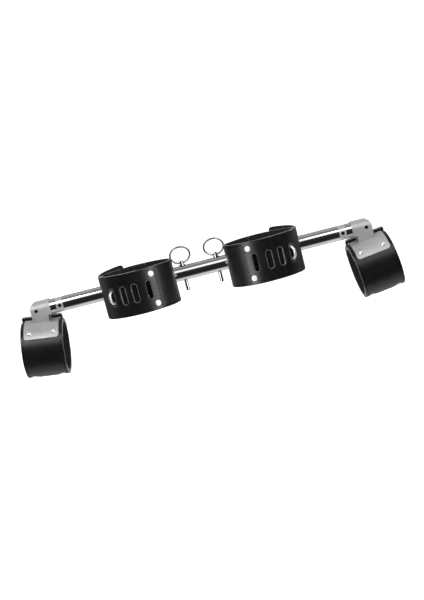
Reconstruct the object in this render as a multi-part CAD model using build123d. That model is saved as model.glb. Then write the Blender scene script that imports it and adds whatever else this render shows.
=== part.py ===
from build123d import *
import os
from math import asin, atan2, cos, degrees, radians, sin, sqrt

# Four leather cuffs on a telescoping steel bar.
# X runs along the bar, the front is -Y and Z is up. The origin is the centre of the bar, on its axis.
# Every piece is built for the left half (-X) and mirrored to the right half.

# ---- Bar ----
TUBE_R = 12.7
TUBE_BORE_R = 11.35
INNER_R = 11.275
INNER_BORE_R = 9.75
INNER_HALF_LENGTH = 214.0
ARM_START = 0.25
ARM_END = 239.5
COLLAR_END = 251.6
SPINDLE_END = 296.5
SPIGOT_START = 217.0
JOINT_GAP = 0.1
SPINDLE_R = 8.0
SPINDLE_CLEARANCE = 0.07
SPINDLE_NOSE_R = 10.0
GROOVE_R = 6.4
GROOVE_WIDTH = 4.2

# ---- Ring pins ----
PIN_X = 29.5
PIN_R = 3.175
PIN_HOLE_R = 3.25
PIN_TIP_Z = -30.7
PIN_HEAD_Z = 20.9
PIN_FLANGE_R = 5.2
PIN_FLANGE_THICKNESS = 1.6
ADJUST_STEP = 25.0
ADJUST_HOLES = 7
RING_EYE_Z = 17.0
RING_EYE_R = 2.0
RING_R = 17.0
RING_WIRE_R = 1.6
RING_LEAN = 42.0
BALL_R = 1.5
BALL_PROUD = 0.6
BALL_Z = -22.3

# ---- Collar screws ----
COLLAR_SCREW_X = 245.6
COLLAR_SCREW_R = 3.0
DOG_R = 1.9
HEX_KEY_R = 1.7

# ---- End bracket ----
SHEET = 2.0
YOKE_INNER_R = 12.75
YOKE_START = 262.3
YOKE_LEG_START = 268.5
YOKE_END = 295.6
YOKE_STEP_Z = -10.5
YOKE_CORNER_R = 12.0
YOKE_SCREW_X = 286.0
YOKE_SCREW_R = 2.9
YOKE_HOLE_R = 3.2
SADDLE_HALF_ANGLE = 60.0
SADDLE_WIDTH = 58.0
SADDLE_CORNER_R = 5.0
SADDLE_RIVET_ANGLE = 46.6
SADDLE_RIVET_W = 20.0
WELD_GAP = 0.02

# ---- Leather ----
BAND = 70.0
LEATHER = 3.6
LAYER_GAP = 0.15
DOUBLER = 2.4
HINGE_GAP = 0.6
SLOT_WIDTH = 8.5
SLOT_LENGTH = 29.6

# ---- Rivets and staple ----
STRAP_RIVET_HEAD_R = 4.7
STRAP_RIVET_W = 24.3
SADDLE_RIVET_HEAD_R = 4.2
RIVET_HEAD_HEIGHT = 2.1
RIVET_SHANK_R = 2.0
WASHER = 1.0
STAPLE_WIRE_R = 2.2
STAPLE_R = 10.7
STAPLE_CENTRE_OFF = 2.35
STAPLE_PLATE_THICKNESS = 1.2

# ---- Middle cuff and its clamp ----
MIDDLE_X = 105.0
MIDDLE_HALF_WIDTH = 54.0
MIDDLE_HALF_DEPTH = 38.6
MIDDLE_SIDE_R = 28.0
CLAMP_HALF_WIDTH = 14.0
CLAMP_FLANGE_END = 27.0
CLAMP_RIVET_X = 8.0
CLAMP_RIVET_Z = 21.0
CLAMP_RIVET_HEAD_R = 3.8
PLATE_HALF_ANGLE = 15.5
PLATE_THICKNESS = 1.5
BAR_GAP = 0.5
MIDDLE_Y = -(TUBE_R + BAR_GAP + MIDDLE_HALF_DEPTH + 2 * LEATHER + LAYER_GAP)

# ---- End cuff ----
END_X = 288.2
END_Z = -66.5
END_SPLAY = 7.3
END_INNER_R = 40.1
TAIL_LEAVES = 330.0
TAIL_R = 62.0
TAIL_SWEEP = 74.0

LAYER_ONE = (0.0, LEATHER)
LAYER_TWO = (LEATHER + LAYER_GAP, 2 * LEATHER + LAYER_GAP)
OUTSIDE = LAYER_TWO[1]


class Ring:
    """A closed band seen along its own axis: four tangent arcs about four centres.

    An angle is the direction of the outward normal in the ring's plane, in degrees, and an offset is
    the distance outside the inner surface of the ring.
    """

    def __init__(self, half_width, half_depth, side_r):
        self.side_centre = half_width - side_r
        self.side_r = side_r
        reach = half_depth - side_r
        self.main_centre = (self.side_centre**2 - reach**2) / (2 * reach) if reach else 0.0
        self.main_r = half_depth + self.main_centre
        self.turn = degrees(atan2(self.side_centre, self.main_centre)) if reach else 45.0
        ends = [k * 180 + 90 + s * self.turn for k in range(-2, 4) for s in (-1, 1)]
        self.breaks = sorted(ends) if reach else []

    def arc(self, angle):
        """Centre and radius of the arc that holds this normal angle."""
        angle = angle % 360
        if abs(angle - 270) <= self.turn:
            return (0.0, self.main_centre), self.main_r
        if abs(angle - 90) <= self.turn:
            return (0.0, -self.main_centre), self.main_r
        if angle < 90 or angle > 270:
            return (self.side_centre, 0.0), self.side_r
        return (-self.side_centre, 0.0), self.side_r

    def point(self, angle, off):
        (u, v), radius = self.arc(angle)
        return (u + (radius + off) * cos(radians(angle)), v + (radius + off) * sin(radians(angle)))

    def band(self, offsets, start, end, height):
        """A strap of this height between two normal angles, centred on the ring's plane."""
        stops = [start] + [b for b in self.breaks if start + 0.01 < b < end - 0.01] + [end]
        strap = None
        for low, high in zip(stops, stops[1:]):
            centre, radius = self.arc((low + high) / 2)
            piece = sector(centre, radius + offsets[0], radius + offsets[1], low, high, height)
            strap = piece if strap is None else strap + piece
        return strap

    def place(self, angle, off, w):
        """A frame on the ring: z along the outward normal, y along the ring's axis."""
        u, v = self.point(angle, off)
        normal = (cos(radians(angle)), sin(radians(angle)), 0)
        tangent = (sin(radians(angle)), -cos(radians(angle)), 0)
        return Plane(origin=(u, v, w), x_dir=tangent, z_dir=normal).location


def sector(centre, r_in, r_out, start, end, height):
    outer = CenterArc(centre, r_out, start, end - start)
    inner = CenterArc(centre, r_in, start, end - start)
    sides = [Line(outer @ t, inner @ t) for t in (0, 1)]
    face = make_face([outer, inner] + sides)
    return extrude(face, height / 2, both=True)


def bar_rod(radius, start, end):
    """A round bar on the X axis of the left half, from start to end along -X."""
    return Pos(-(start + end) / 2, 0, 0) * Rot(0, 90, 0) * Cylinder(radius, end - start)


def upright(radius, low, high, x=0.0, y=0.0):
    return Pos(x, y, (low + high) / 2) * Cylinder(radius, high - low)


def slot_tool(depth=20.0):
    """A slot with round ends, along the ring's axis."""
    straight = SLOT_LENGTH - SLOT_WIDTH
    tool = Box(SLOT_WIDTH, straight, depth)
    for end in (-1, 1):
        tool += Pos(0, end * straight / 2, 0) * Cylinder(SLOT_WIDTH / 2, depth)
    return tool


def rivet(shank_r, head_r, low, high, hollow_r):
    """A rivet along Z: shank from low to high, domed head above high and a washer below low.

    The washer sits by its rim on a hollow surface of radius hollow_r.
    """
    washer_r = 0.9 * head_r
    low -= hollow_r - sqrt(hollow_r**2 - washer_r**2) + 0.01
    sphere_r = (head_r**2 + RIVET_HEAD_HEIGHT**2) / (2 * RIVET_HEAD_HEIGHT)
    dome = Pos(0, 0, high + RIVET_HEAD_HEIGHT - sphere_r) * Sphere(sphere_r)
    head = dome & upright(head_r, high, high + RIVET_HEAD_HEIGHT)
    return upright(shank_r, low - WASHER, high) + head + upright(washer_r, low - WASHER, low)


# ================= Bar =================

def inner_tube():
    tube = Rot(0, 90, 0) * Cylinder(INNER_R, 2 * INNER_HALF_LENGTH)
    tube -= Rot(0, 90, 0) * Cylinder(INNER_BORE_R, 2 * INNER_HALF_LENGTH)
    for side in (-1, 1):
        for step in range(ADJUST_HOLES):
            tube -= upright(PIN_HOLE_R, -INNER_R, INNER_R, x=side * (PIN_X + step * ADJUST_STEP))
    return tube


def arm_tube():
    tube = bar_rod(TUBE_R, ARM_START, ARM_END) - bar_rod(TUBE_BORE_R, ARM_START, ARM_END)
    return tube - upright(PIN_HOLE_R, -TUBE_R, TUBE_R, x=-PIN_X)


def collar_screw_frames():
    """Frames on the bar's axis with z pointing at each collar screw: the front one and the top one."""
    front = Plane(origin=(-COLLAR_SCREW_X, 0, 0), x_dir=(1, 0, 0), z_dir=(0, -1, 0)).location
    top = Plane(origin=(-COLLAR_SCREW_X, 0, 0), x_dir=(1, 0, 0), z_dir=(0, 0, 1)).location
    return [front, top]


def end_collar():
    collar = bar_rod(TUBE_R, ARM_END + JOINT_GAP, COLLAR_END)
    collar += bar_rod(INNER_R, SPIGOT_START, ARM_END + JOINT_GAP)
    collar -= bar_rod(SPINDLE_R + SPINDLE_CLEARANCE, SPIGOT_START, COLLAR_END)
    for frame in collar_screw_frames():
        collar -= frame * upright(COLLAR_SCREW_R, 0, TUBE_R + 1)
    return collar


def collar_screws():
    screws = []
    for frame in collar_screw_frames():
        body = upright(COLLAR_SCREW_R, SPINDLE_R + 0.1, TUBE_R - 0.6)
        body += upright(DOG_R, GROOVE_R + 0.15, SPINDLE_R + 0.1)
        key = extrude(RegularPolygon(HEX_KEY_R, 6), 2.5)
        body -= Pos(0, 0, TUBE_R - 0.6 - 2.5) * key
        screws.append(frame * body)
    return screws


def swivel_spindle():
    shaft = bar_rod(SPINDLE_R, SPIGOT_START, COLLAR_END + JOINT_GAP)
    groove_start = COLLAR_SCREW_X - GROOVE_WIDTH / 2
    groove = bar_rod(SPINDLE_R + 1, groove_start, groove_start + GROOVE_WIDTH)
    groove -= bar_rod(GROOVE_R, groove_start, groove_start + GROOVE_WIDTH)
    head = bar_rod(TUBE_R, COLLAR_END + JOINT_GAP, SPINDLE_END)
    head = fillet(head.edges().filter_by(GeomType.CIRCLE).sort_by(Axis.X)[0], SPINDLE_NOSE_R)
    spindle = shaft - groove + head
    for frame in yoke_screw_frames():
        spindle -= frame * upright(YOKE_SCREW_R, TUBE_R - 6, TUBE_R + 1)
    return spindle


# ================= Ring pins =================

def ring_pin():
    shank = upright(PIN_R, PIN_TIP_Z, PIN_HEAD_Z)
    shank = fillet(shank.edges().sort_by(Axis.Z)[0], 1.6)
    shank = chamfer(shank.edges().sort_by(Axis.Z)[-1], 0.8)
    pin = shank + upright(PIN_FLANGE_R, TUBE_R + 0.02, TUBE_R + PIN_FLANGE_THICKNESS)
    pin -= Pos(0, 0, RING_EYE_Z) * Rot(0, 90, 0) * Cylinder(RING_EYE_R, 4 * PIN_R)
    ball_bore = Pos(-PIN_R / 2 - 0.4, 0, BALL_Z) * Rot(0, 90, 0) * Cylinder(BALL_R + 0.05, PIN_R + 0.8)
    return Pos(-PIN_X, 0, 0) * (pin - ball_bore)


def detent_ball():
    return Pos(-PIN_X - PIN_R + BALL_R - BALL_PROUD, 0, BALL_Z) * Sphere(BALL_R)


def pull_ring():
    hoop = Rot(90, 0, 0) * Torus(RING_R, RING_WIRE_R)
    return Pos(-PIN_X, 0, RING_EYE_Z) * Rot(-RING_LEAN, 0, 0) * Pos(0, 0, RING_R) * hoop


# ================= End bracket =================

def yoke_screw_frames():
    return [
        Plane(origin=(-YOKE_SCREW_X, 0, 0), x_dir=(1, 0, 0), z_dir=(0, side, 0)).location
        for side in (-1, 1)
    ]


def end_cuff_place():
    return Pos(-END_X, 0, END_Z) * Rot(0, END_SPLAY, 0) * Plane.YZ.location


def yoke_corner():
    """What is cut away to round off the yoke's outer end, seen from the front."""
    size = YOKE_CORNER_R + 1
    block = Pos(-size / 2, 0, size / 2) * Box(size, 4 * TUBE_R, size)
    block -= Rot(90, 0, 0) * Cylinder(YOKE_CORNER_R, 5 * TUBE_R)
    return Pos(YOKE_CORNER_R - YOKE_END, 0, YOKE_INNER_R + SHEET - YOKE_CORNER_R) * block


def yoke():
    """A sheet bent over the bar's end, with two legs that stand on the saddle plate."""
    leg_depth = -END_Z
    outer = bar_rod(YOKE_INNER_R + SHEET, YOKE_START, YOKE_END)
    outer += Pos(-(YOKE_START + YOKE_END) / 2, 0, -leg_depth / 2) * Box(
        YOKE_END - YOKE_START, 2 * (YOKE_INNER_R + SHEET), leg_depth
    )
    inner = bar_rod(YOKE_INNER_R, YOKE_START, YOKE_END)
    inner += Pos(-(YOKE_START + YOKE_END) / 2, 0, -leg_depth / 2) * Box(
        YOKE_END - YOKE_START, 2 * YOKE_INNER_R, leg_depth
    )
    bent = outer - inner
    step_height = leg_depth + YOKE_STEP_Z
    bent -= Pos(-(YOKE_START + YOKE_LEG_START) / 2, 0, YOKE_STEP_Z - step_height / 2) * Box(
        YOKE_LEG_START - YOKE_START, 4 * TUBE_R, step_height
    )
    bent -= yoke_corner()
    ring_r = END_INNER_R + OUTSIDE + SHEET + WELD_GAP
    bent -= end_cuff_place() * Cylinder(ring_r, 2 * BAND)
    for frame in yoke_screw_frames():
        bent -= frame * upright(YOKE_HOLE_R, TUBE_R - 2, TUBE_R + 2 * SHEET)
    return max(bent.solids(), key=lambda s: s.volume)


def yoke_screws():
    screws = []
    for frame in yoke_screw_frames():
        body = upright(YOKE_SCREW_R - 0.02, TUBE_R - 5.5, TUBE_R - 0.3)
        body -= Pos(0, 0, TUBE_R - 0.3 - 2.5) * extrude(RegularPolygon(HEX_KEY_R, 6), 2.5)
        screws.append(frame * body)
    return screws


def saddle_plate():
    plate = END_RING.band(
        (OUTSIDE, OUTSIDE + SHEET), 90 - SADDLE_HALF_ANGLE, 90 + SADDLE_HALF_ANGLE, SADDLE_WIDTH
    )
    corners = plate.edges().filter_by(GeomType.LINE).filter_by(
        lambda e: abs(e.length - SHEET) < 0.01
    )
    plate = fillet(corners, SADDLE_CORNER_R)
    for frame in saddle_rivet_frames():
        plate -= frame * upright(RIVET_SHANK_R, -5, 5)
    return plate


def saddle_rivet_frames():
    return [
        END_RING.place(90 + side * SADDLE_RIVET_ANGLE, OUTSIDE, w)
        for side in (-1, 1)
        for w in (-SADDLE_RIVET_W, SADDLE_RIVET_W)
    ]


def saddle_rivets():
    return [
        frame * rivet(RIVET_SHANK_R, SADDLE_RIVET_HEAD_R, -OUTSIDE, SHEET, END_INNER_R)
        for frame in saddle_rivet_frames()
    ]


# ================= Cuffs =================

class Cuff:
    """One cuff in its ring's plane. The straps run from the mount to the closure round the ring."""

    def __init__(self, ring, root, front_hinge, tail_hinge, tail_end, base, doubler_end, slots, staple,
                 rivets, mount_holes):
        self.ring = ring
        self.root = root
        self.front_hinge = front_hinge
        self.tail_hinge = tail_hinge
        self.tail_end = tail_end
        self.base = base
        self.doubler_end = doubler_end
        self.slots = slots
        self.staple = staple
        self.rivets = rivets
        self.mount_holes = mount_holes

    def punch(self, strap, frames, radius):
        for frame in frames:
            strap -= frame * upright(radius, -12, 8)
        return strap

    def rivet_frames(self):
        return [self.ring.place(self.rivets, OUTSIDE, w) for w in (-STRAP_RIVET_W, STRAP_RIVET_W)]

    def slotted(self, strap, slots):
        for angle in slots:
            strap -= self.ring.place(angle, (LAYER_TWO[0] + LAYER_TWO[1]) / 2, 0) * slot_tool()
        return strap

    def strap_root(self):
        start, end = self.root
        return self.punch(self.ring.band(LAYER_TWO, start, end, BAND), self.mount_holes, RIVET_SHANK_R)

    def strap_front(self):
        start, end = sorted((self.front_hinge, self.tail_hinge))
        strap = self.slotted(self.ring.band(LAYER_TWO, start, end, BAND), self.slots)
        return self.punch(strap, self.rivet_frames(), RIVET_SHANK_R)

    def strap_tail(self):
        start, end = sorted((self.tail_hinge, self.tail_end))
        return self.ring.band(LAYER_TWO, start, end, BAND)

    def base_strap(self):
        strap = self.ring.band(LAYER_ONE, *self.base, BAND)
        strap = self.punch(strap, self.mount_holes, RIVET_SHANK_R)
        for frame in self.staple_leg_frames():
            strap -= frame * upright(STAPLE_WIRE_R + 0.1, -12, 12)
        for frame in self.staple_rivet_frames():
            strap -= frame * upright(1.5, -6, 6)
            strap -= frame * upright(3.2, LEATHER - 1.2, LEATHER + 1)
        return strap

    def doubler(self):
        inner = LEATHER - DOUBLER
        hinge_side = 1 if self.doubler_end > self.front_hinge else -1
        margin = degrees(HINGE_GAP / self.ring.arc(self.front_hinge)[1]) * hinge_side
        start, end = sorted((self.front_hinge + margin, self.doubler_end))
        strap = self.ring.band((inner, LEATHER), start, end, BAND)
        return self.punch(strap, self.rivet_frames(), RIVET_SHANK_R)

    def strap_rivets(self):
        inside = LEATHER - DOUBLER
        hollow_r = self.ring.arc(self.rivets)[1] + inside
        return [
            frame * rivet(RIVET_SHANK_R, STRAP_RIVET_HEAD_R, inside - OUTSIDE, 0, hollow_r)
            for frame in self.rivet_frames()
        ]

    def staple_leg_frames(self):
        return [self.ring.place(self.staple, STAPLE_CENTRE_OFF, w) for w in (-STAPLE_R, STAPLE_R)]

    def staple_rivet_frames(self):
        reach = degrees(6.5 / self.ring.arc(self.staple)[1])
        return [self.ring.place(self.staple + side * reach, 0, 0) for side in (-1, 1)]

    def staple_loop(self):
        """A half ring that stands across the slot, with legs down to a curved plate in the cuff."""
        frame = self.ring.place(self.staple, STAPLE_CENTRE_OFF, 0)
        foot = -STAPLE_CENTRE_OFF - 0.6
        ends = [(0, -STAPLE_R), (0, STAPLE_R)]
        path = ThreePointArc((*ends[0], 0), (0, 0, STAPLE_R), (*ends[1], 0))
        path = Line((*ends[0], foot), (*ends[0], 0)) + path + Line((*ends[1], 0), (*ends[1], foot))
        loop = sweep(Pos(*ends[0], foot) * Circle(STAPLE_WIRE_R), path=path)
        reach = degrees(11.0 / self.ring.arc(self.staple)[1])
        plate = self.ring.band(
            (-0.05 - STAPLE_PLATE_THICKNESS, -0.05), self.staple - reach, self.staple + reach, 30.0
        )
        plate = self.punch(plate, self.staple_rivet_frames(), 1.5)
        return frame * loop + plate

    def staple_rivets(self):
        rivets = []
        plate_face = -0.05 - STAPLE_PLATE_THICKNESS
        for frame in self.staple_rivet_frames():
            body = upright(1.5, plate_face - 0.8, LEATHER - 1.2)
            body += upright(3.15, LEATHER - 1.2, LEATHER - 0.1)
            body += upright(2.8, plate_face - 0.8, plate_face - 0.3)
            rivets.append(frame * body)
        return rivets


class EndCuff(Cuff):
    def strap_tail(self):
        """The tail leaves the ring on a wider arc and passes outside the saddle's rear wing."""
        near = self.ring.band(LAYER_TWO, self.tail_hinge, TAIL_LEAVES, BAND)
        middle_r = END_INNER_R + (LAYER_TWO[0] + LAYER_TWO[1]) / 2
        shift = TAIL_R - middle_r
        centre = (-shift * cos(radians(TAIL_LEAVES)), -shift * sin(radians(TAIL_LEAVES)))
        half = LEATHER / 2
        far = sector(
            centre, TAIL_R - half, TAIL_R + half, TAIL_LEAVES, TAIL_LEAVES + TAIL_SWEEP, BAND
        )
        return near + far


MIDDLE_RING = Ring(MIDDLE_HALF_WIDTH, MIDDLE_HALF_DEPTH, MIDDLE_SIDE_R)
END_RING = Ring(END_INNER_R, END_INNER_R, END_INNER_R)
CLAMP_RIVET_ANGLE = degrees(asin(CLAMP_RIVET_X / (MIDDLE_RING.main_r + OUTSIDE)))
CLAMP_HALF_ANGLE = degrees(asin(CLAMP_HALF_WIDTH / (MIDDLE_RING.main_r + OUTSIDE)))


def clamp_rivet_frames():
    return [
        MIDDLE_RING.place(90 + side * CLAMP_RIVET_ANGLE, OUTSIDE, w)
        for side in (-1, 1)
        for w in (-CLAMP_RIVET_Z, CLAMP_RIVET_Z)
    ]


MIDDLE = Cuff(
    ring=MIDDLE_RING,
    root=(MIDDLE_RING.turn - 90, 104.3),
    front_hinge=270 + MIDDLE_RING.turn,
    tail_hinge=270 - MIDDLE_RING.turn,
    tail_end=106.8,
    base=(75.5, 275.1),
    doubler_end=288.3,
    slots=(232.9, 249.9, 265.7, 284.8),
    staple=232.9,
    rivets=291.0,
    mount_holes=clamp_rivet_frames(),
)

END = EndCuff(
    ring=END_RING,
    root=(90 - SADDLE_HALF_ANGLE, 213.5),
    front_hinge=213.5,
    tail_hinge=322.5,
    tail_end=None,
    base=(-97.5, 90 + SADDLE_HALF_ANGLE),
    doubler_end=250.5,
    slots=(256.5, 285.4, 312.3),
    staple=312.3,
    rivets=247.4,
    mount_holes=saddle_rivet_frames(),
)


# ================= Clamp of the middle cuff =================

def middle_cuff_place():
    return Pos(-MIDDLE_X, MIDDLE_Y, 0)


def clamp():
    """A strap round the back of the bar with two flanges on the cuff's rear wall."""
    width = 2 * CLAMP_HALF_WIDTH
    outer_r = YOKE_INNER_R + SHEET
    bend = Rot(0, 90, 0) * (Cylinder(outer_r, width) - Cylinder(YOKE_INNER_R, width))
    bend &= Pos(0, outer_r, 0) * Box(width, 2 * outer_r, 2 * outer_r)
    flange_offsets = (OUTSIDE + WELD_GAP, OUTSIDE + SHEET)
    flange = MIDDLE_RING.band(
        flange_offsets, 90 - CLAMP_HALF_ANGLE, 90 + CLAMP_HALF_ANGLE, 2 * CLAMP_FLANGE_END
    )
    for frame in clamp_rivet_frames():
        flange -= frame * upright(RIVET_SHANK_R, -5, 5)
    flange = Pos(0, MIDDLE_Y, 0) * flange
    flange -= Box(2 * width, 4 * outer_r, 2 * YOKE_INNER_R)
    leg_length = TUBE_R + BAR_GAP - 0.3
    strap = bend + flange
    for side in (-1, 1):
        strap += Pos(0, -leg_length / 2, side * (YOKE_INNER_R + SHEET / 2)) * Box(width, leg_length, SHEET)
    return Pos(-MIDDLE_X, 0, 0) * strap


def backing_plate():
    plate = MIDDLE_RING.band(
        (-0.05 - PLATE_THICKNESS, -0.05), 90 - PLATE_HALF_ANGLE, 90 + PLATE_HALF_ANGLE,
        2 * CLAMP_FLANGE_END,
    )
    for frame in clamp_rivet_frames():
        plate -= frame * upright(RIVET_SHANK_R, -12, 2)
    return plate


def clamp_rivets():
    inside = -0.05 - PLATE_THICKNESS
    hollow_r = MIDDLE_RING.main_r + inside
    return [
        frame * rivet(RIVET_SHANK_R, CLAMP_RIVET_HEAD_R, inside - OUTSIDE, SHEET, hollow_r)
        for frame in clamp_rivet_frames()
    ]


# ================= Output =================

def cuff_nodes(name, cuff, place):
    """The pieces of one cuff by node name, moved to their place on the left half."""
    pieces = {
        "base_strap": cuff.base_strap(),
        "strap_root": cuff.strap_root(),
        "strap_front": cuff.strap_front(),
        "strap_tail": cuff.strap_tail(),
        "doubler": cuff.doubler(),
        "staple": cuff.staple_loop(),
        "strap_rivets": cuff.strap_rivets(),
    }
    return {f"{name}_{piece}": moved(shape, place) for piece, shape in pieces.items()}


def moved(shape, place):
    if isinstance(shape, list):
        return [place * one for one in shape]
    return place * shape


def left_nodes():
    end_place = end_cuff_place()
    middle_place = middle_cuff_place()
    nodes = {
        "arm_tube": arm_tube(),
        "end_collar": end_collar(),
        "collar_screws": collar_screws(),
        "swivel_spindle": swivel_spindle(),
        "ring_pin": ring_pin(),
        "pull_ring": pull_ring(),
        "detent_ball": detent_ball(),
        "yoke": yoke(),
        "yoke_screws": yoke_screws(),
        "saddle_plate": moved(saddle_plate(), end_place),
        "end_rivets": moved(saddle_rivets() + END.staple_rivets(), end_place),
        "clamp": clamp(),
        "backing_plate": moved(backing_plate(), middle_place),
        "clamp_rivets": moved(clamp_rivets(), middle_place),
        "middle_staple_rivets": moved(MIDDLE.staple_rivets(), middle_place),
    }
    nodes.update(cuff_nodes("end", END, end_place))
    nodes.update(cuff_nodes("middle", MIDDLE, middle_place))
    return nodes


def write(name, shape):
    solids = shape if isinstance(shape, list) else [shape]
    group = Compound(children=[s for one in solids for s in one.solids()])
    export_step(group, f"parts/{name}.step")


os.makedirs("parts", exist_ok=True)
write("inner_tube", inner_tube())
for node, shape in left_nodes().items():
    write(f"left_{node}", shape)
    shapes = shape if isinstance(shape, list) else [shape]
    write(f"right_{node}", [mirror(one, about=Plane.YZ) for one in shapes])
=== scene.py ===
import math

import bmesh
import bpy
from mathutils import Matrix, Vector, noise


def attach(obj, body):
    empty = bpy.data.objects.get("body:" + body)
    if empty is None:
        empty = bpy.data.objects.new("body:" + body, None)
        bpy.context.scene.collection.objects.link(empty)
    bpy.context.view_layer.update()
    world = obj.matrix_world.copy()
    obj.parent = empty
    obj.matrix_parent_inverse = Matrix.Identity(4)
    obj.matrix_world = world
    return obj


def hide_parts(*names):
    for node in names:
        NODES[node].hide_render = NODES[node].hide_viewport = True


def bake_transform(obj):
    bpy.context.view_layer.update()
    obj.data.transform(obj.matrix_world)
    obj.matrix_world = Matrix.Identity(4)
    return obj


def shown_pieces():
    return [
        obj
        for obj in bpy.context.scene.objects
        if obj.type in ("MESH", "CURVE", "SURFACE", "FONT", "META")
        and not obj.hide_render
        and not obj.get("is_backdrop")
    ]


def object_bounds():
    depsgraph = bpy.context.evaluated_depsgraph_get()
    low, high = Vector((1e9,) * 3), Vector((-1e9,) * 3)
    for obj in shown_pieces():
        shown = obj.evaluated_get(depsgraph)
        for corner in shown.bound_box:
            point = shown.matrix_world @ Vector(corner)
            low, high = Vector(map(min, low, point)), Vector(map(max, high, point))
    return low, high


# A telescoping bar with four leather cuffs. The steel is the CAD's; the leather is built here.
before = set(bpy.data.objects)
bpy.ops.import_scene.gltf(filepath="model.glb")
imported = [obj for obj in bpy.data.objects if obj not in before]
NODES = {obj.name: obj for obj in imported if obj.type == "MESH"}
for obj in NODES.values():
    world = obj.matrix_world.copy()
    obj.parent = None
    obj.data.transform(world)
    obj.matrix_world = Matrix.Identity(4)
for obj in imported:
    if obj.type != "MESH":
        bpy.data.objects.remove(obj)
cad_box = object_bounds()
SIDES = ((1, "left"), (-1, "right"))

# ---- Leather dimensions, in mm, as in the CAD ----
BAND = 70.0
LEATHER = 3.6
LAYER_TWO = 3.75
DOUBLER = 2.4
SLOT_WIDTH = 8.5
SLOT_LENGTH = 29.6

MIDDLE_HALF_WIDTH = 54.0
MIDDLE_HALF_DEPTH = 38.6
MIDDLE_SIDE_R = 28.0
MIDDLE_CENTRE = (-105.0, -59.15)

# Where things lie round a cuff is the angle of the outward normal, in degrees.
MIDDLE_OUTER = (104.3, -253.2)
MIDDLE_BASE = (75.5, 275.1)
MIDDLE_LINING_END = -71.7
LINING_GAP = 0.6
MIDDLE_SLOTS = (232.9, 249.9, 265.7, 284.8)
MIDDLE_STITCH_LINE = -63.5
MIDDLE_SEAMS = (85, -102)

END_R = 40.1
END_CENTRE = (-288.2, 0.0, -66.5)
END_SPLAY = math.radians(7.3)
TAIL_LEAVES = 330.0
TAIL_R = 62.0
TAIL_SWEEP = 74.0
END_OUTER_START = 30.0
END_BASE = (150, -97.5)
END_LINING = (214.4, 250.5)
END_SLOTS = (256.5, 285.4, 312.3)
END_STITCHES = (150, 243.0)
END_SEAMS = (90, 299)
END_FRONT_HINGE = 213.5
END_TAIL_HINGE = 322.5

EDGE_ROUND = 0.55
STITCH_HALF_WIDTH = 0.8
STITCH_HEIGHT = 0.35
STITCH_INSET = 3.6
STITCH_START = 6
STEP = 2.5
TAIL_RISE = 6.0
TAIL_FLARE = -5.0
EDGE_SWAY = 0.25
FACE_LIFT = 0.12
FRONT_FOLD_REACH = 7
TAIL_FOLD_REACH = 5


# ================= Materials =================

def nodes_of(name):
    mat = bpy.data.materials.new(name)
    mat.use_nodes = True
    tree = mat.node_tree
    return mat, tree, tree.nodes["Principled BSDF"]


def add(tree, kind, **values):
    node = tree.nodes.new(kind)
    for key, value in values.items():
        if key in node.inputs:
            node.inputs[key].default_value = value
        else:
            setattr(node, key, value)
    return node


def ramp(tree, source, low, high, low_at=0.3, high_at=0.7):
    node = tree.nodes.new("ShaderNodeMapRange")
    node.inputs["From Min"].default_value = low_at
    node.inputs["From Max"].default_value = high_at
    node.inputs["To Min"].default_value = low
    node.inputs["To Max"].default_value = high
    tree.links.new(source, node.inputs["Value"])
    return node.outputs["Result"]


def mottle(tree, colour, source, low, high):
    """Lets the base colour drift lighter and darker with a noise."""
    shade = add(tree, "ShaderNodeHueSaturation", Color=(*colour, 1))
    tree.links.new(ramp(tree, source, low, high), shade.inputs["Value"])
    tree.links.new(shade.outputs["Color"], tree.nodes["Principled BSDF"].inputs["Base Color"])


def leather(name, colour, rough, grain, coat=0.0, shine=0.42):
    """Black hide: a fine pebble grain, soft creases and a patchy polish."""
    mat, tree, bsdf = nodes_of(name)
    place = add(tree, "ShaderNodeTexCoord").outputs["Object"]
    pebble = add(tree, "ShaderNodeTexVoronoi", Scale=950.0)
    crease = add(tree, "ShaderNodeTexNoise", Scale=210.0, Detail=5.0, Roughness=0.6)
    swell = add(tree, "ShaderNodeTexNoise", Scale=32.0, Detail=4.0)
    for node in (pebble, crease, swell):
        tree.links.new(place, node.inputs["Vector"])
    polish = ramp(tree, swell.outputs["Fac"], rough - 0.03, rough + 0.05)
    tree.links.new(polish, bsdf.inputs["Roughness"])
    last = None
    for source, strength, distance in (
        (swell.outputs["Fac"], 0.12, 0.0010),
        (crease.outputs["Fac"], 0.28 * grain, 0.0004),
        (pebble.outputs["Distance"], 0.35 * grain, 0.00022),
    ):
        bump = add(tree, "ShaderNodeBump", Strength=strength, Distance=distance)
        tree.links.new(source, bump.inputs["Height"])
        if last is not None:
            tree.links.new(last, bump.inputs["Normal"])
        last = bump.outputs["Normal"]
    tree.links.new(last, bsdf.inputs["Normal"])
    mottle(tree, colour, crease.outputs["Fac"], 0.5, 2.2)
    bsdf.inputs["Specular IOR Level"].default_value = shine
    bsdf.inputs["Coat Weight"].default_value = coat
    bsdf.inputs["Coat Roughness"].default_value = 0.3
    return mat


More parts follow.
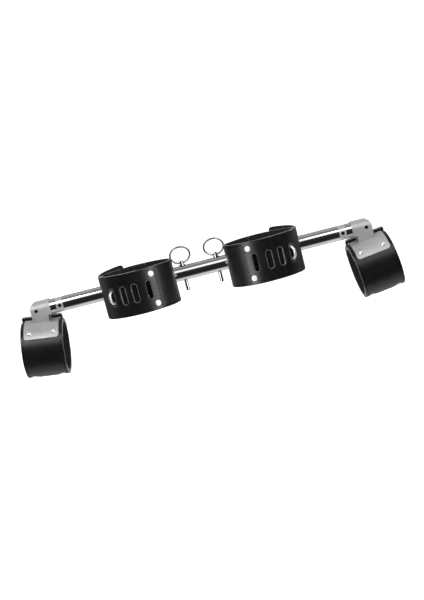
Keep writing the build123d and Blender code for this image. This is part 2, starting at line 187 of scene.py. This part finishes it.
def steel(name, colour, rough, brushed=0.0, along=(1, 1, 1), metal=1.0):
    mat, tree, bsdf = nodes_of(name)
    bsdf.inputs["Metallic"].default_value = metal
    place = add(tree, "ShaderNodeTexCoord").outputs["Object"]
    mapping = add(tree, "ShaderNodeMapping")
    mapping.inputs["Scale"].default_value = along
    tree.links.new(place, mapping.inputs["Vector"])
    grain = add(tree, "ShaderNodeTexNoise", Scale=1400.0, Detail=3.0)
    cloud = add(tree, "ShaderNodeTexNoise", Scale=45.0, Detail=3.0)
    tree.links.new(mapping.outputs["Vector"], grain.inputs["Vector"])
    tree.links.new(place, cloud.inputs["Vector"])
    tree.links.new(
        ramp(tree, cloud.outputs["Fac"], rough * 0.85, rough * 1.2), bsdf.inputs["Roughness"]
    )
    mottle(tree, colour, cloud.outputs["Fac"], 0.92, 1.06)
    if brushed:
        bump = add(tree, "ShaderNodeBump", Strength=brushed, Distance=0.0001)
        tree.links.new(grain.outputs["Fac"], bump.inputs["Height"])
        tree.links.new(bump.outputs["Normal"], bsdf.inputs["Normal"])
    return mat


HIDE = leather("black_hide", (0.0035, 0.0035, 0.004), 0.30, 1.0, 0.08)
HIDE_EDGE = leather("hide_edge", (0.13, 0.128, 0.126), 0.50, 0.6)
HIDE_BACK = leather("hide_back", (0.006, 0.006, 0.006), 0.80, 1.6)
HIDE_RIM = leather("hide_rim", (0.035, 0.035, 0.036), 0.34, 0.5, 0.2)
THREAD = leather("black_thread", (0.001, 0.001, 0.001), 0.80, 0.4, shine=0.08)
TUBE = steel("polished_tube", (0.84, 0.85, 0.86), 0.09)
SATIN = steel("satin_steel", (0.46, 0.465, 0.47), 0.48, 0.22, (0.05, 1, 1), 0.6)
COLLAR = steel("turned_steel", (0.58, 0.58, 0.59), 0.30, metal=0.6)
# Strap rivets: partly their own bright metal, partly a painted highlight. The near-white,
# half-diffuse colour stands in for the glint on their domed heads.
RIVET_GLINT = steel("rivet_plate", (0.95, 0.95, 0.95), 0.34, metal=0.4)
BRIGHT = steel("bright_plate", (0.88, 0.88, 0.89), 0.22, metal=0.75)
PIN = steel("pin_steel", (0.62, 0.63, 0.64), 0.20)
WIRE = steel("ring_wire", (0.30, 0.30, 0.31), 0.25)
# Painted shade: this near-black steel is put on the backing plate and the screws so the slot
# interior and the screw holes read dark.
SHADE_DARK_STEEL = steel("blackened_screw", (0.02, 0.02, 0.022), 0.45, 0.1)

LOOKS = {
    "inner_tube": TUBE, "arm_tube": TUBE, "end_collar": COLLAR, "swivel_spindle": TUBE,
    # collar_screws, yoke_screws and backing_plate wear the painted-shade steel, which stands in for
    # the dark of holes and the slot interior.
    "collar_screws": SHADE_DARK_STEEL, "yoke_screws": SHADE_DARK_STEEL, "yoke": SATIN, "saddle_plate": SATIN,
    "clamp": SATIN, "backing_plate": SHADE_DARK_STEEL, "clamp_rivets": BRIGHT, "end_rivets": BRIGHT,
    # The strap rivets take the near-white colour that is partly a painted highlight.
    "middle_staple_rivets": BRIGHT, "middle_strap_rivets": RIVET_GLINT, "end_strap_rivets": RIVET_GLINT,
    "middle_staple": BRIGHT, "end_staple": BRIGHT, "ring_pin": PIN, "detent_ball": BRIGHT,
    "pull_ring": WIRE,
}
ROUNDED = {
    "yoke": 0.45, "saddle_plate": 0.5, "clamp": 0.45, "end_collar": 0.35, "arm_tube": 0.25,
    "swivel_spindle": 0.3, "ring_pin": 0.2, "middle_strap_rivets": 0.25, "end_strap_rivets": 0.25,
    "end_rivets": 0.25, "clamp_rivets": 0.25,
}


def kind_of(node):
    return node.split("_", 1)[1] if node.startswith(("left_", "right_")) else node


for node, obj in NODES.items():
    kind = kind_of(node)
    if kind not in LOOKS:
        continue
    obj.data.materials.clear()
    obj.data.materials.append(LOOKS[kind])
    if kind in ROUNDED:
        bevel = obj.modifiers.new("edges", "BEVEL")
        bevel.width = ROUNDED[kind] / 1000
        bevel.segments = 3
        bevel.limit_method = "ANGLE"
        bevel.angle_limit = math.radians(40)
        bevel.harden_normals = True


# ================= Strap paths =================

REACH = MIDDLE_HALF_DEPTH - MIDDLE_SIDE_R
SIDE_C = MIDDLE_HALF_WIDTH - MIDDLE_SIDE_R
MAIN_C = (SIDE_C**2 - REACH**2) / (2 * REACH)
MAIN_R = MIDDLE_HALF_DEPTH + MAIN_C
TURN = math.degrees(math.atan2(SIDE_C, MAIN_C))


def oval_arc(angle):
    angle %= 360
    if abs(angle - 270) <= TURN:
        return 0.0, MAIN_C, MAIN_R
    if abs(angle - 90) <= TURN:
        return 0.0, -MAIN_C, MAIN_R
    return (SIDE_C if angle < 90 or angle > 270 else -SIDE_C), 0.0, MIDDLE_SIDE_R


class Path:
    """A strap's mid surface seen along the cuff's axis, as arcs walked by length in mm."""

    def __init__(self, off):
        self.off = off
        self.arcs = []
        self.length = 0.0

    def arc(self, cu, cv, r, start, end):
        span = abs(math.radians(end - start)) * r
        turn = (math.radians(start), math.radians(end))
        self.arcs.append((self.length, span, cu, cv, r, *turn))
        self.length += span
        return self

    def oval(self, start, end):
        """Along the middle cuff's oval, from one normal angle to another either way."""
        way = 1 if end > start else -1
        breaks = [90 + k * 180 + s * TURN for k in range(-4, 4) for s in (-1, 1)]
        low, high = sorted((start, end))
        stops = sorted([b for b in breaks if low + 0.01 < b < high - 0.01], reverse=way < 0)
        stops = [start] + stops + [end]
        for a, b in zip(stops, stops[1:]):
            cu, cv, r = oval_arc((a + b) / 2)
            self.arc(cu, cv, r + self.off, a, b)
        return self

    def circle(self, start, end):
        return self.arc(0, 0, END_R + self.off, start, end)

    def find(self, s):
        for item in self.arcs:
            if s <= item[0] + item[1] or item is self.arcs[-1]:
                return item

    def point(self, s, t):
        """Position in the ring's plane at length s and height t above the mid surface."""
        at, span, cu, cv, r, start, end = self.find(s)
        a = start + (end - start) * (s - at) / span
        return cu + (r + t) * math.cos(a), cv + (r + t) * math.sin(a)

    def s_of(self, angle):
        """The length at which the outward normal has this angle."""
        a = math.radians(angle)
        for at, span, cu, cv, r, start, end in self.arcs:
            low, high = min(start, end), max(start, end)
            if low - 1e-6 <= a <= high + 1e-6:
                return at + span * (a - start) / (end - start)
        raise ValueError(angle)

    @property
    def way(self):
        return 1 if self.arcs[0][6] > self.arcs[0][5] else -1


def middle_world(u, v, w, side):
    x = MIDDLE_CENTRE[0] + u
    return Vector((x * side, MIDDLE_CENTRE[1] + v, w)) / 1000


def end_world(u, v, w, side):
    x = w * math.cos(END_SPLAY) + v * math.sin(END_SPLAY) + END_CENTRE[0]
    z = v * math.cos(END_SPLAY) - w * math.sin(END_SPLAY) + END_CENTRE[2]
    return Vector((x * side, u, z)) / 1000


# ================= Flat pieces, bent round a path =================

def rounded_box(s0, s1, w0, w1, radii, count=8):
    """A closed outline with round corners; radii go (s0 w0), (s1 w0), (s1 w1), (s0 w1)."""
    corners = [(s0, w0, 180), (s1, w0, 270), (s1, w1, 0), (s0, w1, 90)]
    points = []
    for (s, w, start), r in zip(corners, radii):
        cs = s + r if s == s0 else s - r
        cw = w + r if w == w0 else w - r
        for k in range(count + 1):
            a = math.radians(start + 90 * k / count)
            points.append((cs + r * math.cos(a), cw + r * math.sin(a)))
    return points


def slot_outline(s, grow=0.0):
    half, end = SLOT_WIDTH / 2 + grow, SLOT_LENGTH / 2 + grow
    return rounded_box(s - half, s + half, -end, end, [half - 0.01] * 4, 8)


def flat_mesh(loops, thickness, edge=EDGE_ROUND):
    """A sheet with holes and rounded edges, as a bmesh in (s, w, t)."""
    curve = bpy.data.curves.new("outline", "CURVE")
    curve.dimensions = "2D"
    curve.fill_mode = "BOTH"
    curve.extrude = thickness / 2 - edge
    curve.bevel_depth = edge
    curve.bevel_resolution = 2
    curve.offset = -edge
    for loop in loops:
        spline = curve.splines.new("POLY")
        spline.points.add(len(loop) - 1)
        for point, (s, w) in zip(spline.points, loop):
            point.co = (s, w, 0, 1)
        spline.use_cyclic_u = True
    obj = bpy.data.objects.new("outline", curve)
    bpy.context.scene.collection.objects.link(obj)
    bpy.context.view_layer.update()
    mesh = bpy.data.meshes.new_from_object(obj.evaluated_get(bpy.context.evaluated_depsgraph_get()))
    bm = bmesh.new()
    bm.from_mesh(mesh)
    bpy.data.objects.remove(obj)
    bpy.data.meshes.remove(mesh)
    bmesh.ops.remove_doubles(bm, verts=bm.verts, dist=0.001)
    bmesh.ops.recalc_face_normals(bm, faces=bm.faces)
    for face in bm.faces:
        up = face.normal.z
        face.material_index = 0 if up > 0.5 else (2 if up < -0.5 else 1)
    return bm


def add_rim(bm, loop, height, base):
    """A low raised bead that follows an outline on the outer face."""
    profile = [(0.1, -0.06), (0.25, 0.6), (0.6, 1.0), (1.0, 0.6), (1.3, -0.06)]
    rows = []
    n = len(loop)
    for i, (s, w) in enumerate(loop):
        ps, pw = loop[i - 1]
        ns, nw = loop[(i + 1) % n]
        d = Vector((ns - ps, nw - pw)).normalized()
        out = (d.y, -d.x)
        points = [(s + out[0] * o, w + out[1] * o, base + height * h) for o, h in profile]
        rows.append([bm.verts.new(point) for point in points])
    for i in range(n):
        a, b = rows[i], rows[(i + 1) % n]
        for k in range(len(profile) - 1):
            face = bm.faces.new((a[k], a[k + 1], b[k + 1], b[k]))
            face.material_index = 3
            if face.normal.z < 0:
                face.normal_flip()


def stitches(bm, start, end, base, pitch=5.0, length=3.5):
    """A row of flat thread stitches from one (s, w) point to another."""
    a, b = Vector(start), Vector(end)
    count = max(1, int((b - a).length / pitch))
    d = (b - a) / count
    turn = Matrix.Rotation(math.atan2(d.y, d.x), 4, "Z")
    for i in range(count):
        p = a + d * (i + 0.5)
        made = bmesh.ops.create_uvsphere(
            bm, u_segments=8, v_segments=5, radius=1.0,
            matrix=Matrix.Translation((p.x, p.y, base))
            @ turn
            @ Matrix.Diagonal((length / 2, STITCH_HALF_WIDTH, STITCH_HEIGHT, 1)),
        )
        for vert in made["verts"]:
            for face in vert.link_faces:
                face.material_index = 4


def slice_up(bm, length):
    """Cuts the sheet every few mm along its length, so that it bends smoothly."""
    s = STEP
    while s < length:
        geom = bm.verts[:] + bm.edges[:] + bm.faces[:]
        bmesh.ops.bisect_plane(bm, geom=geom, dist=0.0005, plane_co=(s, 0, 0), plane_no=(1, 0, 0))
        s += STEP


def keep_between(bm, low, high):
    for at, way in ((low, -1), (high, 1)):
        if at is None:
            continue
        geom = bm.verts[:] + bm.edges[:] + bm.faces[:]
        bmesh.ops.bisect_plane(
            bm, geom=geom, dist=0.0005, plane_co=(at, 0, 0), plane_no=(way, 0, 0), clear_outer=True
        )


def bend(bm, name, path, world, side):
    """Wraps a flat piece round its path and makes it an object."""
    for vert in bm.verts:
        s, w, t = vert.co
        sway = noise.noise((s * 0.035, 3.1 * side, 0.0)) * EDGE_SWAY * abs(w) / (BAND / 2)
        lift = noise.noise((s * 0.03, w * 0.03, 7.7)) * FACE_LIFT
        u, v = path.point(min(max(s, 0.0), path.length), t + lift)
        vert.co = world(u, v, w + (sway if w > 0 else -sway), side)
    if path.way * side < 0:
        bmesh.ops.reverse_faces(bm, faces=bm.faces[:])
    mesh = bpy.data.meshes.new(name)
    bm.to_mesh(mesh)
    bm.free()
    for mat in (HIDE, HIDE_EDGE, HIDE_BACK, HIDE_RIM, THREAD):
        mesh.materials.append(mat)
    mesh.shade_smooth()
    mesh.set_sharp_from_angle(angle=math.radians(50))
    obj = bpy.data.objects.new(name, mesh)
    bpy.context.scene.collection.objects.link(obj)
    return obj


def across(path, world, side, s, reach):
    """Two points either side of length s, along the strap, in the row frame."""
    ends = []
    for d in (-reach, reach):
        a, b = path.point(s - 0.5, 0), path.point(s + 0.5, 0)
        c = path.point(s, 0)
        ends.append(world(c[0] + (b[0] - a[0]) * d, c[1] + (b[1] - a[1]) * d, 0, side))
    return ends


def flat_strap(path, thickness, radii, slots=(), rows=(), skew_from=None, skew=0.0):
    """A whole strap, still flat: slotted, beaded, stitched, sliced and skewed at its tail."""
    half = BAND / 2
    top = thickness / 2
    outline = rounded_box(0, path.length, -half, half, radii)
    bm = flat_mesh([outline] + [slot_outline(s) for s in slots], thickness)
    for s in slots:
        add_rim(bm, slot_outline(s), 0.5, top)
    for start, end in rows:
        stitches(bm, start, end, top)
    slice_up(bm, path.length)
    if skew_from is not None:
        for vert in bm.verts:
            t = min(max((vert.co.x - skew_from) / (path.length - skew_from), 0.0), 1.0)
            vert.co.y += skew * t * t * (3 - 2 * t)
    return bm


def cut_and_bend(flat, name, path, world, side, seams):
    """The root, front and tail sheets of a slotted strap."""
    pieces = []
    for part, low, high in zip(("root", "front", "tail"), [None] + seams, seams + [None]):
        bm = flat.copy()
        keep_between(bm, low, high)
        pieces.append(bend(bm, f"{name}_{part}", path, world, side))
    return pieces


def hang(pieces, cuff, path, world, side, front_hinge, tail_hinge, bodies):
    """Puts the root sheet on its mount and bakes the front and tail sheets in place; the two fold
    lines are found but nothing bends across them.
    """
    root, front, tail = pieces
    mount, flap, end = bodies
    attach(root, mount)
    fold = across(path, world, side, path.s_of(front_hinge), FRONT_FOLD_REACH)
    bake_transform(front)
    fold = across(path, world, side, path.s_of(tail_hinge), TAIL_FOLD_REACH)
    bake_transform(tail)
    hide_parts(f"{cuff}_strap_root")
    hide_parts(f"{cuff}_strap_front")
    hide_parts(f"{cuff}_strap_tail")


# ================= Cuffs =================

MID_TWO = LAYER_TWO + LEATHER / 2
MID_ONE = LEATHER / 2
MID_LINING = LEATHER - DOUBLER / 2
STITCH_W = BAND / 2 - STITCH_INSET


def stitch_rows(start, line):
    """Two rows along the strap's edges and one across it."""
    corners = [(start, STITCH_W), (line, STITCH_W), (start, -STITCH_W), (line, -STITCH_W)]
    return [(corners[0], corners[1]), (corners[2], corners[3]), (corners[3], corners[1])]


# Middle cuff: the outer strap runs rear, inner side, front, outer side, rear.
middle_outer = Path(MID_TWO).oval(*MIDDLE_OUTER)
middle_base = Path(MID_ONE).oval(*MIDDLE_BASE)
middle_lining = Path(MID_LINING).oval(TURN - 90 - LINING_GAP, MIDDLE_LINING_END)
middle_flat = flat_strap(
    middle_outer, LEATHER, [2, 5, 5, 2],
    slots=[middle_outer.s_of(a - 360) for a in MIDDLE_SLOTS],
    rows=stitch_rows(STITCH_START, middle_outer.s_of(MIDDLE_STITCH_LINE)),
    skew_from=middle_outer.s_of(-90 - TURN),
    skew=TAIL_RISE,
)
middle_base_flat = flat_strap(middle_base, LEATHER, [3] * 4)
middle_lining_flat = flat_strap(middle_lining, DOUBLER, [2] * 4)

# End cuff: the outer strap runs from under the saddle down the front, below, and up the rear.
shift = TAIL_R - END_R - MID_TWO
leave = math.radians(TAIL_LEAVES)
end_outer = Path(MID_TWO).circle(END_OUTER_START, TAIL_LEAVES)
end_outer.arc(
    -shift * math.cos(leave), -shift * math.sin(leave),
    TAIL_R, TAIL_LEAVES, TAIL_LEAVES + TAIL_SWEEP,
)
end_base = Path(MID_ONE).circle(*END_BASE)
end_lining = Path(MID_LINING).circle(*END_LINING)
end_flat = flat_strap(
    end_outer, LEATHER, [2, 4, 4, 2],
    slots=[end_outer.s_of(a) for a in END_SLOTS],
    rows=stitch_rows(*[end_outer.s_of(a) for a in END_STITCHES]),
    skew_from=end_outer.s_of(TAIL_LEAVES),
    skew=TAIL_FLARE,
)
end_base_flat = flat_strap(end_base, LEATHER, [3] * 4)
end_lining_flat = flat_strap(end_lining, DOUBLER, [2] * 4)


def dress(cuff, world, side, bodies, straps, seams, hinges):
    """Hangs a cuff's leather: the closing strap in three sheets, the base strap, the doubler."""
    (outer_flat, outer), (base_flat, base), (lining_flat, lining) = straps
    lengths = [outer.s_of(angle) for angle in seams]
    sheets = cut_and_bend(outer_flat, f"{cuff}_leather", outer, world, side, lengths)
    hang(sheets, cuff, outer, world, side, *hinges, bodies)
    sheet = bend(base_flat.copy(), f"{cuff}_leather_base", base, world, side)
    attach(sheet, bodies[0])
    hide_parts(f"{cuff}_base_strap")
    sheet = bend(lining_flat.copy(), f"{cuff}_leather_lining", lining, world, side)
    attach(sheet, bodies[1])
    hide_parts(f"{cuff}_doubler")


MIDDLE_STRAPS = (
    (middle_flat, middle_outer), (middle_base_flat, middle_base),
    (middle_lining_flat, middle_lining),
)
END_STRAPS = ((end_flat, end_outer), (end_base_flat, end_base), (end_lining_flat, end_lining))
MIDDLE_HINGES = (TURN - 90, -TURN - 90)
END_HINGES = (END_FRONT_HINGE, END_TAIL_HINGE)

for side, label in SIDES:
    bodies = (f"{label}_arm", f"{label}_middle_flap", f"{label}_middle_tail")
    dress(
        f"{label}_middle", middle_world, side, bodies, MIDDLE_STRAPS, MIDDLE_SEAMS, MIDDLE_HINGES
    )
    bodies = (f"{label}_swivel", f"{label}_end_flap", f"{label}_end_tail")
    dress(f"{label}_end", end_world, side, bodies, END_STRAPS, END_SEAMS, END_HINGES)


# ================= Studio =================

AIM = (0, 0, -0.05)
FLOOR_DROP = 0.45


def area_light(name, place, target, size, power):
    data = bpy.data.lights.new(name, "AREA")
    data.shape = "RECTANGLE"
    data.size, data.size_y = size
    data.energy = power
    obj = bpy.data.objects.new(name, data)
    bpy.context.scene.collection.objects.link(obj)
    obj.location = place
    obj.rotation_euler = (Vector(target) - Vector(place)).to_track_quat("-Z", "Y").to_euler()
    return obj


floor_mat, tree, bsdf = nodes_of("pale_floor")
tone = add(tree, "ShaderNodeTexNoise", Scale=3.0)
place = add(tree, "ShaderNodeTexCoord").outputs["Object"]
tree.links.new(place, tone.inputs["Vector"])
mix = tree.nodes.new("ShaderNodeMix")
mix.data_type = "RGBA"
mix.inputs[6].default_value = (0.93, 0.93, 0.93, 1)
mix.inputs[7].default_value = (0.96, 0.96, 0.96, 1)
tree.links.new(tone.outputs["Fac"], mix.inputs[0])
tree.links.new(mix.outputs[2], bsdf.inputs["Base Color"])
bsdf.inputs["Roughness"].default_value = 0.9


def sweep_backdrop(low, mat):
    """A pale floor that curves up into a wall behind the object, with no line between them."""
    radius, near, far, top, half = 1.2, -6.0, 1.6, 5.0, 7.0
    line = [(near, low)]
    for k in range(33):
        a = math.radians(90 * k / 32)
        line.append((far + radius * math.sin(a), low + radius * (1 - math.cos(a))))
    line.append((far + radius, top))
    verts = [(x, y, z) for y, z in line for x in (-half, half)]
    faces = [(2 * k, 2 * k + 1, 2 * k + 3, 2 * k + 2) for k in range(len(line) - 1)]
    mesh = bpy.data.meshes.new("backdrop")
    mesh.from_pydata(verts, [], faces)
    mesh.materials.append(mat)
    mesh.shade_smooth()
    obj = bpy.data.objects.new("backdrop", mesh)
    bpy.context.scene.collection.objects.link(obj)
    obj.visible_glossy = False
    obj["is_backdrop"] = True
    return obj


bsdf.inputs["Emission Color"].default_value = (1, 1, 1, 1)
bsdf.inputs["Emission Strength"].default_value = 0.55
sweep_backdrop(cad_box[0].z - FLOOR_DROP, floor_mat)

area_light("key", (-0.75, -1.35, 1.35), AIM, (0.5, 0.9), 10)
area_light("key_right", (0.75, -1.35, 1.35), AIM, (0.5, 0.9), 4)
for side, label in SIDES:
    box = area_light(f"box_{label}", (1.02 * side, -1.36, -0.10), AIM, (0.55, 0.85), 11.0)
    half = bpy.data.collections.new(f"{label}_half")
    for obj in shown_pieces():
        if obj.name.startswith(label):
            half.objects.link(obj)
    box.light_linking.receiver_collection = half
area_light("top", (0.0, 0.35, 1.6), AIM, (2.4, 0.7), 14).visible_glossy = False

# What polished metal sees, by the angle round the bar's axis from straight ahead, in degrees.
ROOM = (
    (-180, 0.20), (-160, 0.60), (-80, 0.70), (-64, 0.10), (-45, 0.015), (5, 0.02), (26, 0.03),
    (35, 1.25), (56, 1.30), (64, 0.10), (74, 0.16), (95, 0.30), (118, 0.42), (142, 0.36),
    (158, 0.06), (180, 0.20),
)
world = bpy.data.worlds.new("studio")
bpy.context.scene.world = world
world.use_nodes = True
tree = world.node_tree
out = tree.nodes["World Output"]
camera_side = tree.nodes["Background"]
camera_side.inputs["Color"].default_value = (1, 1, 1, 1)
way = tree.nodes.new("ShaderNodeTexCoord").outputs["Generated"]
parts = tree.nodes.new("ShaderNodeSeparateXYZ")
tree.links.new(way, parts.inputs[0])
ahead = add(tree, "ShaderNodeMath", operation="MULTIPLY")
ahead.inputs[1].default_value = -1.0
tree.links.new(parts.outputs["Y"], ahead.inputs[0])
angle = add(tree, "ShaderNodeMath", operation="ARCTAN2")
tree.links.new(parts.outputs["Z"], angle.inputs[0])
tree.links.new(ahead.outputs[0], angle.inputs[1])
share = tree.nodes.new("ShaderNodeMapRange")
share.inputs["From Min"].default_value = -math.pi
share.inputs["From Max"].default_value = math.pi
tree.links.new(angle.outputs[0], share.inputs["Value"])
bands = tree.nodes.new("ShaderNodeValToRGB")
while len(bands.color_ramp.elements) > 1:
    bands.color_ramp.elements.remove(bands.color_ramp.elements[0])
brightest = max(value for _, value in ROOM)
for k, (degree, value) in enumerate(ROOM):
    at = (degree + 180) / 360
    stop = bands.color_ramp.elements[0] if k == 0 else bands.color_ramp.elements.new(at)
    stop.position = at
    stop.color = (value / brightest,) * 3 + (1,)
tree.links.new(share.outputs["Result"], bands.inputs["Fac"])
room = tree.nodes.new("ShaderNodeBackground")
room.inputs["Strength"].default_value = brightest
tree.links.new(bands.outputs["Color"], room.inputs["Color"])
soft = tree.nodes.new("ShaderNodeBackground")
soft.inputs["Color"].default_value = (1, 1, 1, 1)
soft.inputs["Strength"].default_value = 0.45
rays = tree.nodes.new("ShaderNodeLightPath")
shiny = tree.nodes.new("ShaderNodeMixShader")
tree.links.new(rays.outputs["Is Glossy Ray"], shiny.inputs["Fac"])
tree.links.new(soft.outputs["Background"], shiny.inputs[1])
tree.links.new(room.outputs["Background"], shiny.inputs[2])
pick = tree.nodes.new("ShaderNodeMixShader")
tree.links.new(rays.outputs["Is Camera Ray"], pick.inputs["Fac"])
tree.links.new(shiny.outputs["Shader"], pick.inputs[1])
tree.links.new(camera_side.outputs["Background"], pick.inputs[2])
tree.links.new(pick.outputs["Shader"], out.inputs["Surface"])

# ---- Camera: nine degrees above the bar, rolled so that the bar climbs to the right ----
ELEVATION = math.radians(9.0)
ROLL = math.radians(14.3)
DISTANCE = 1.70
LENS = 60.3
SHIFT_RIGHT = 0.0186
SHIFT_UP = -0.0535

forward = Vector((0, math.cos(ELEVATION), -math.sin(ELEVATION)))
level_up = Vector((0, math.sin(ELEVATION), math.cos(ELEVATION)))
right = Vector((1, 0, 0)) * math.cos(ROLL) - level_up * math.sin(ROLL)
up = Vector((1, 0, 0)) * math.sin(ROLL) + level_up * math.cos(ROLL)
camera_data = bpy.data.cameras.new("camera")
camera_data.lens = LENS
camera_data.sensor_width = 36.0
camera = bpy.data.objects.new("camera", camera_data)
bpy.context.scene.collection.objects.link(camera)
spot = -forward * DISTANCE + right * SHIFT_RIGHT + up * SHIFT_UP
turn = Matrix((right, up, -forward)).transposed().to_4x4()
camera.matrix_world = Matrix.Translation(spot) @ turn
bpy.context.scene.camera = camera
bpy.context.scene.view_settings.view_transform = "Standard"
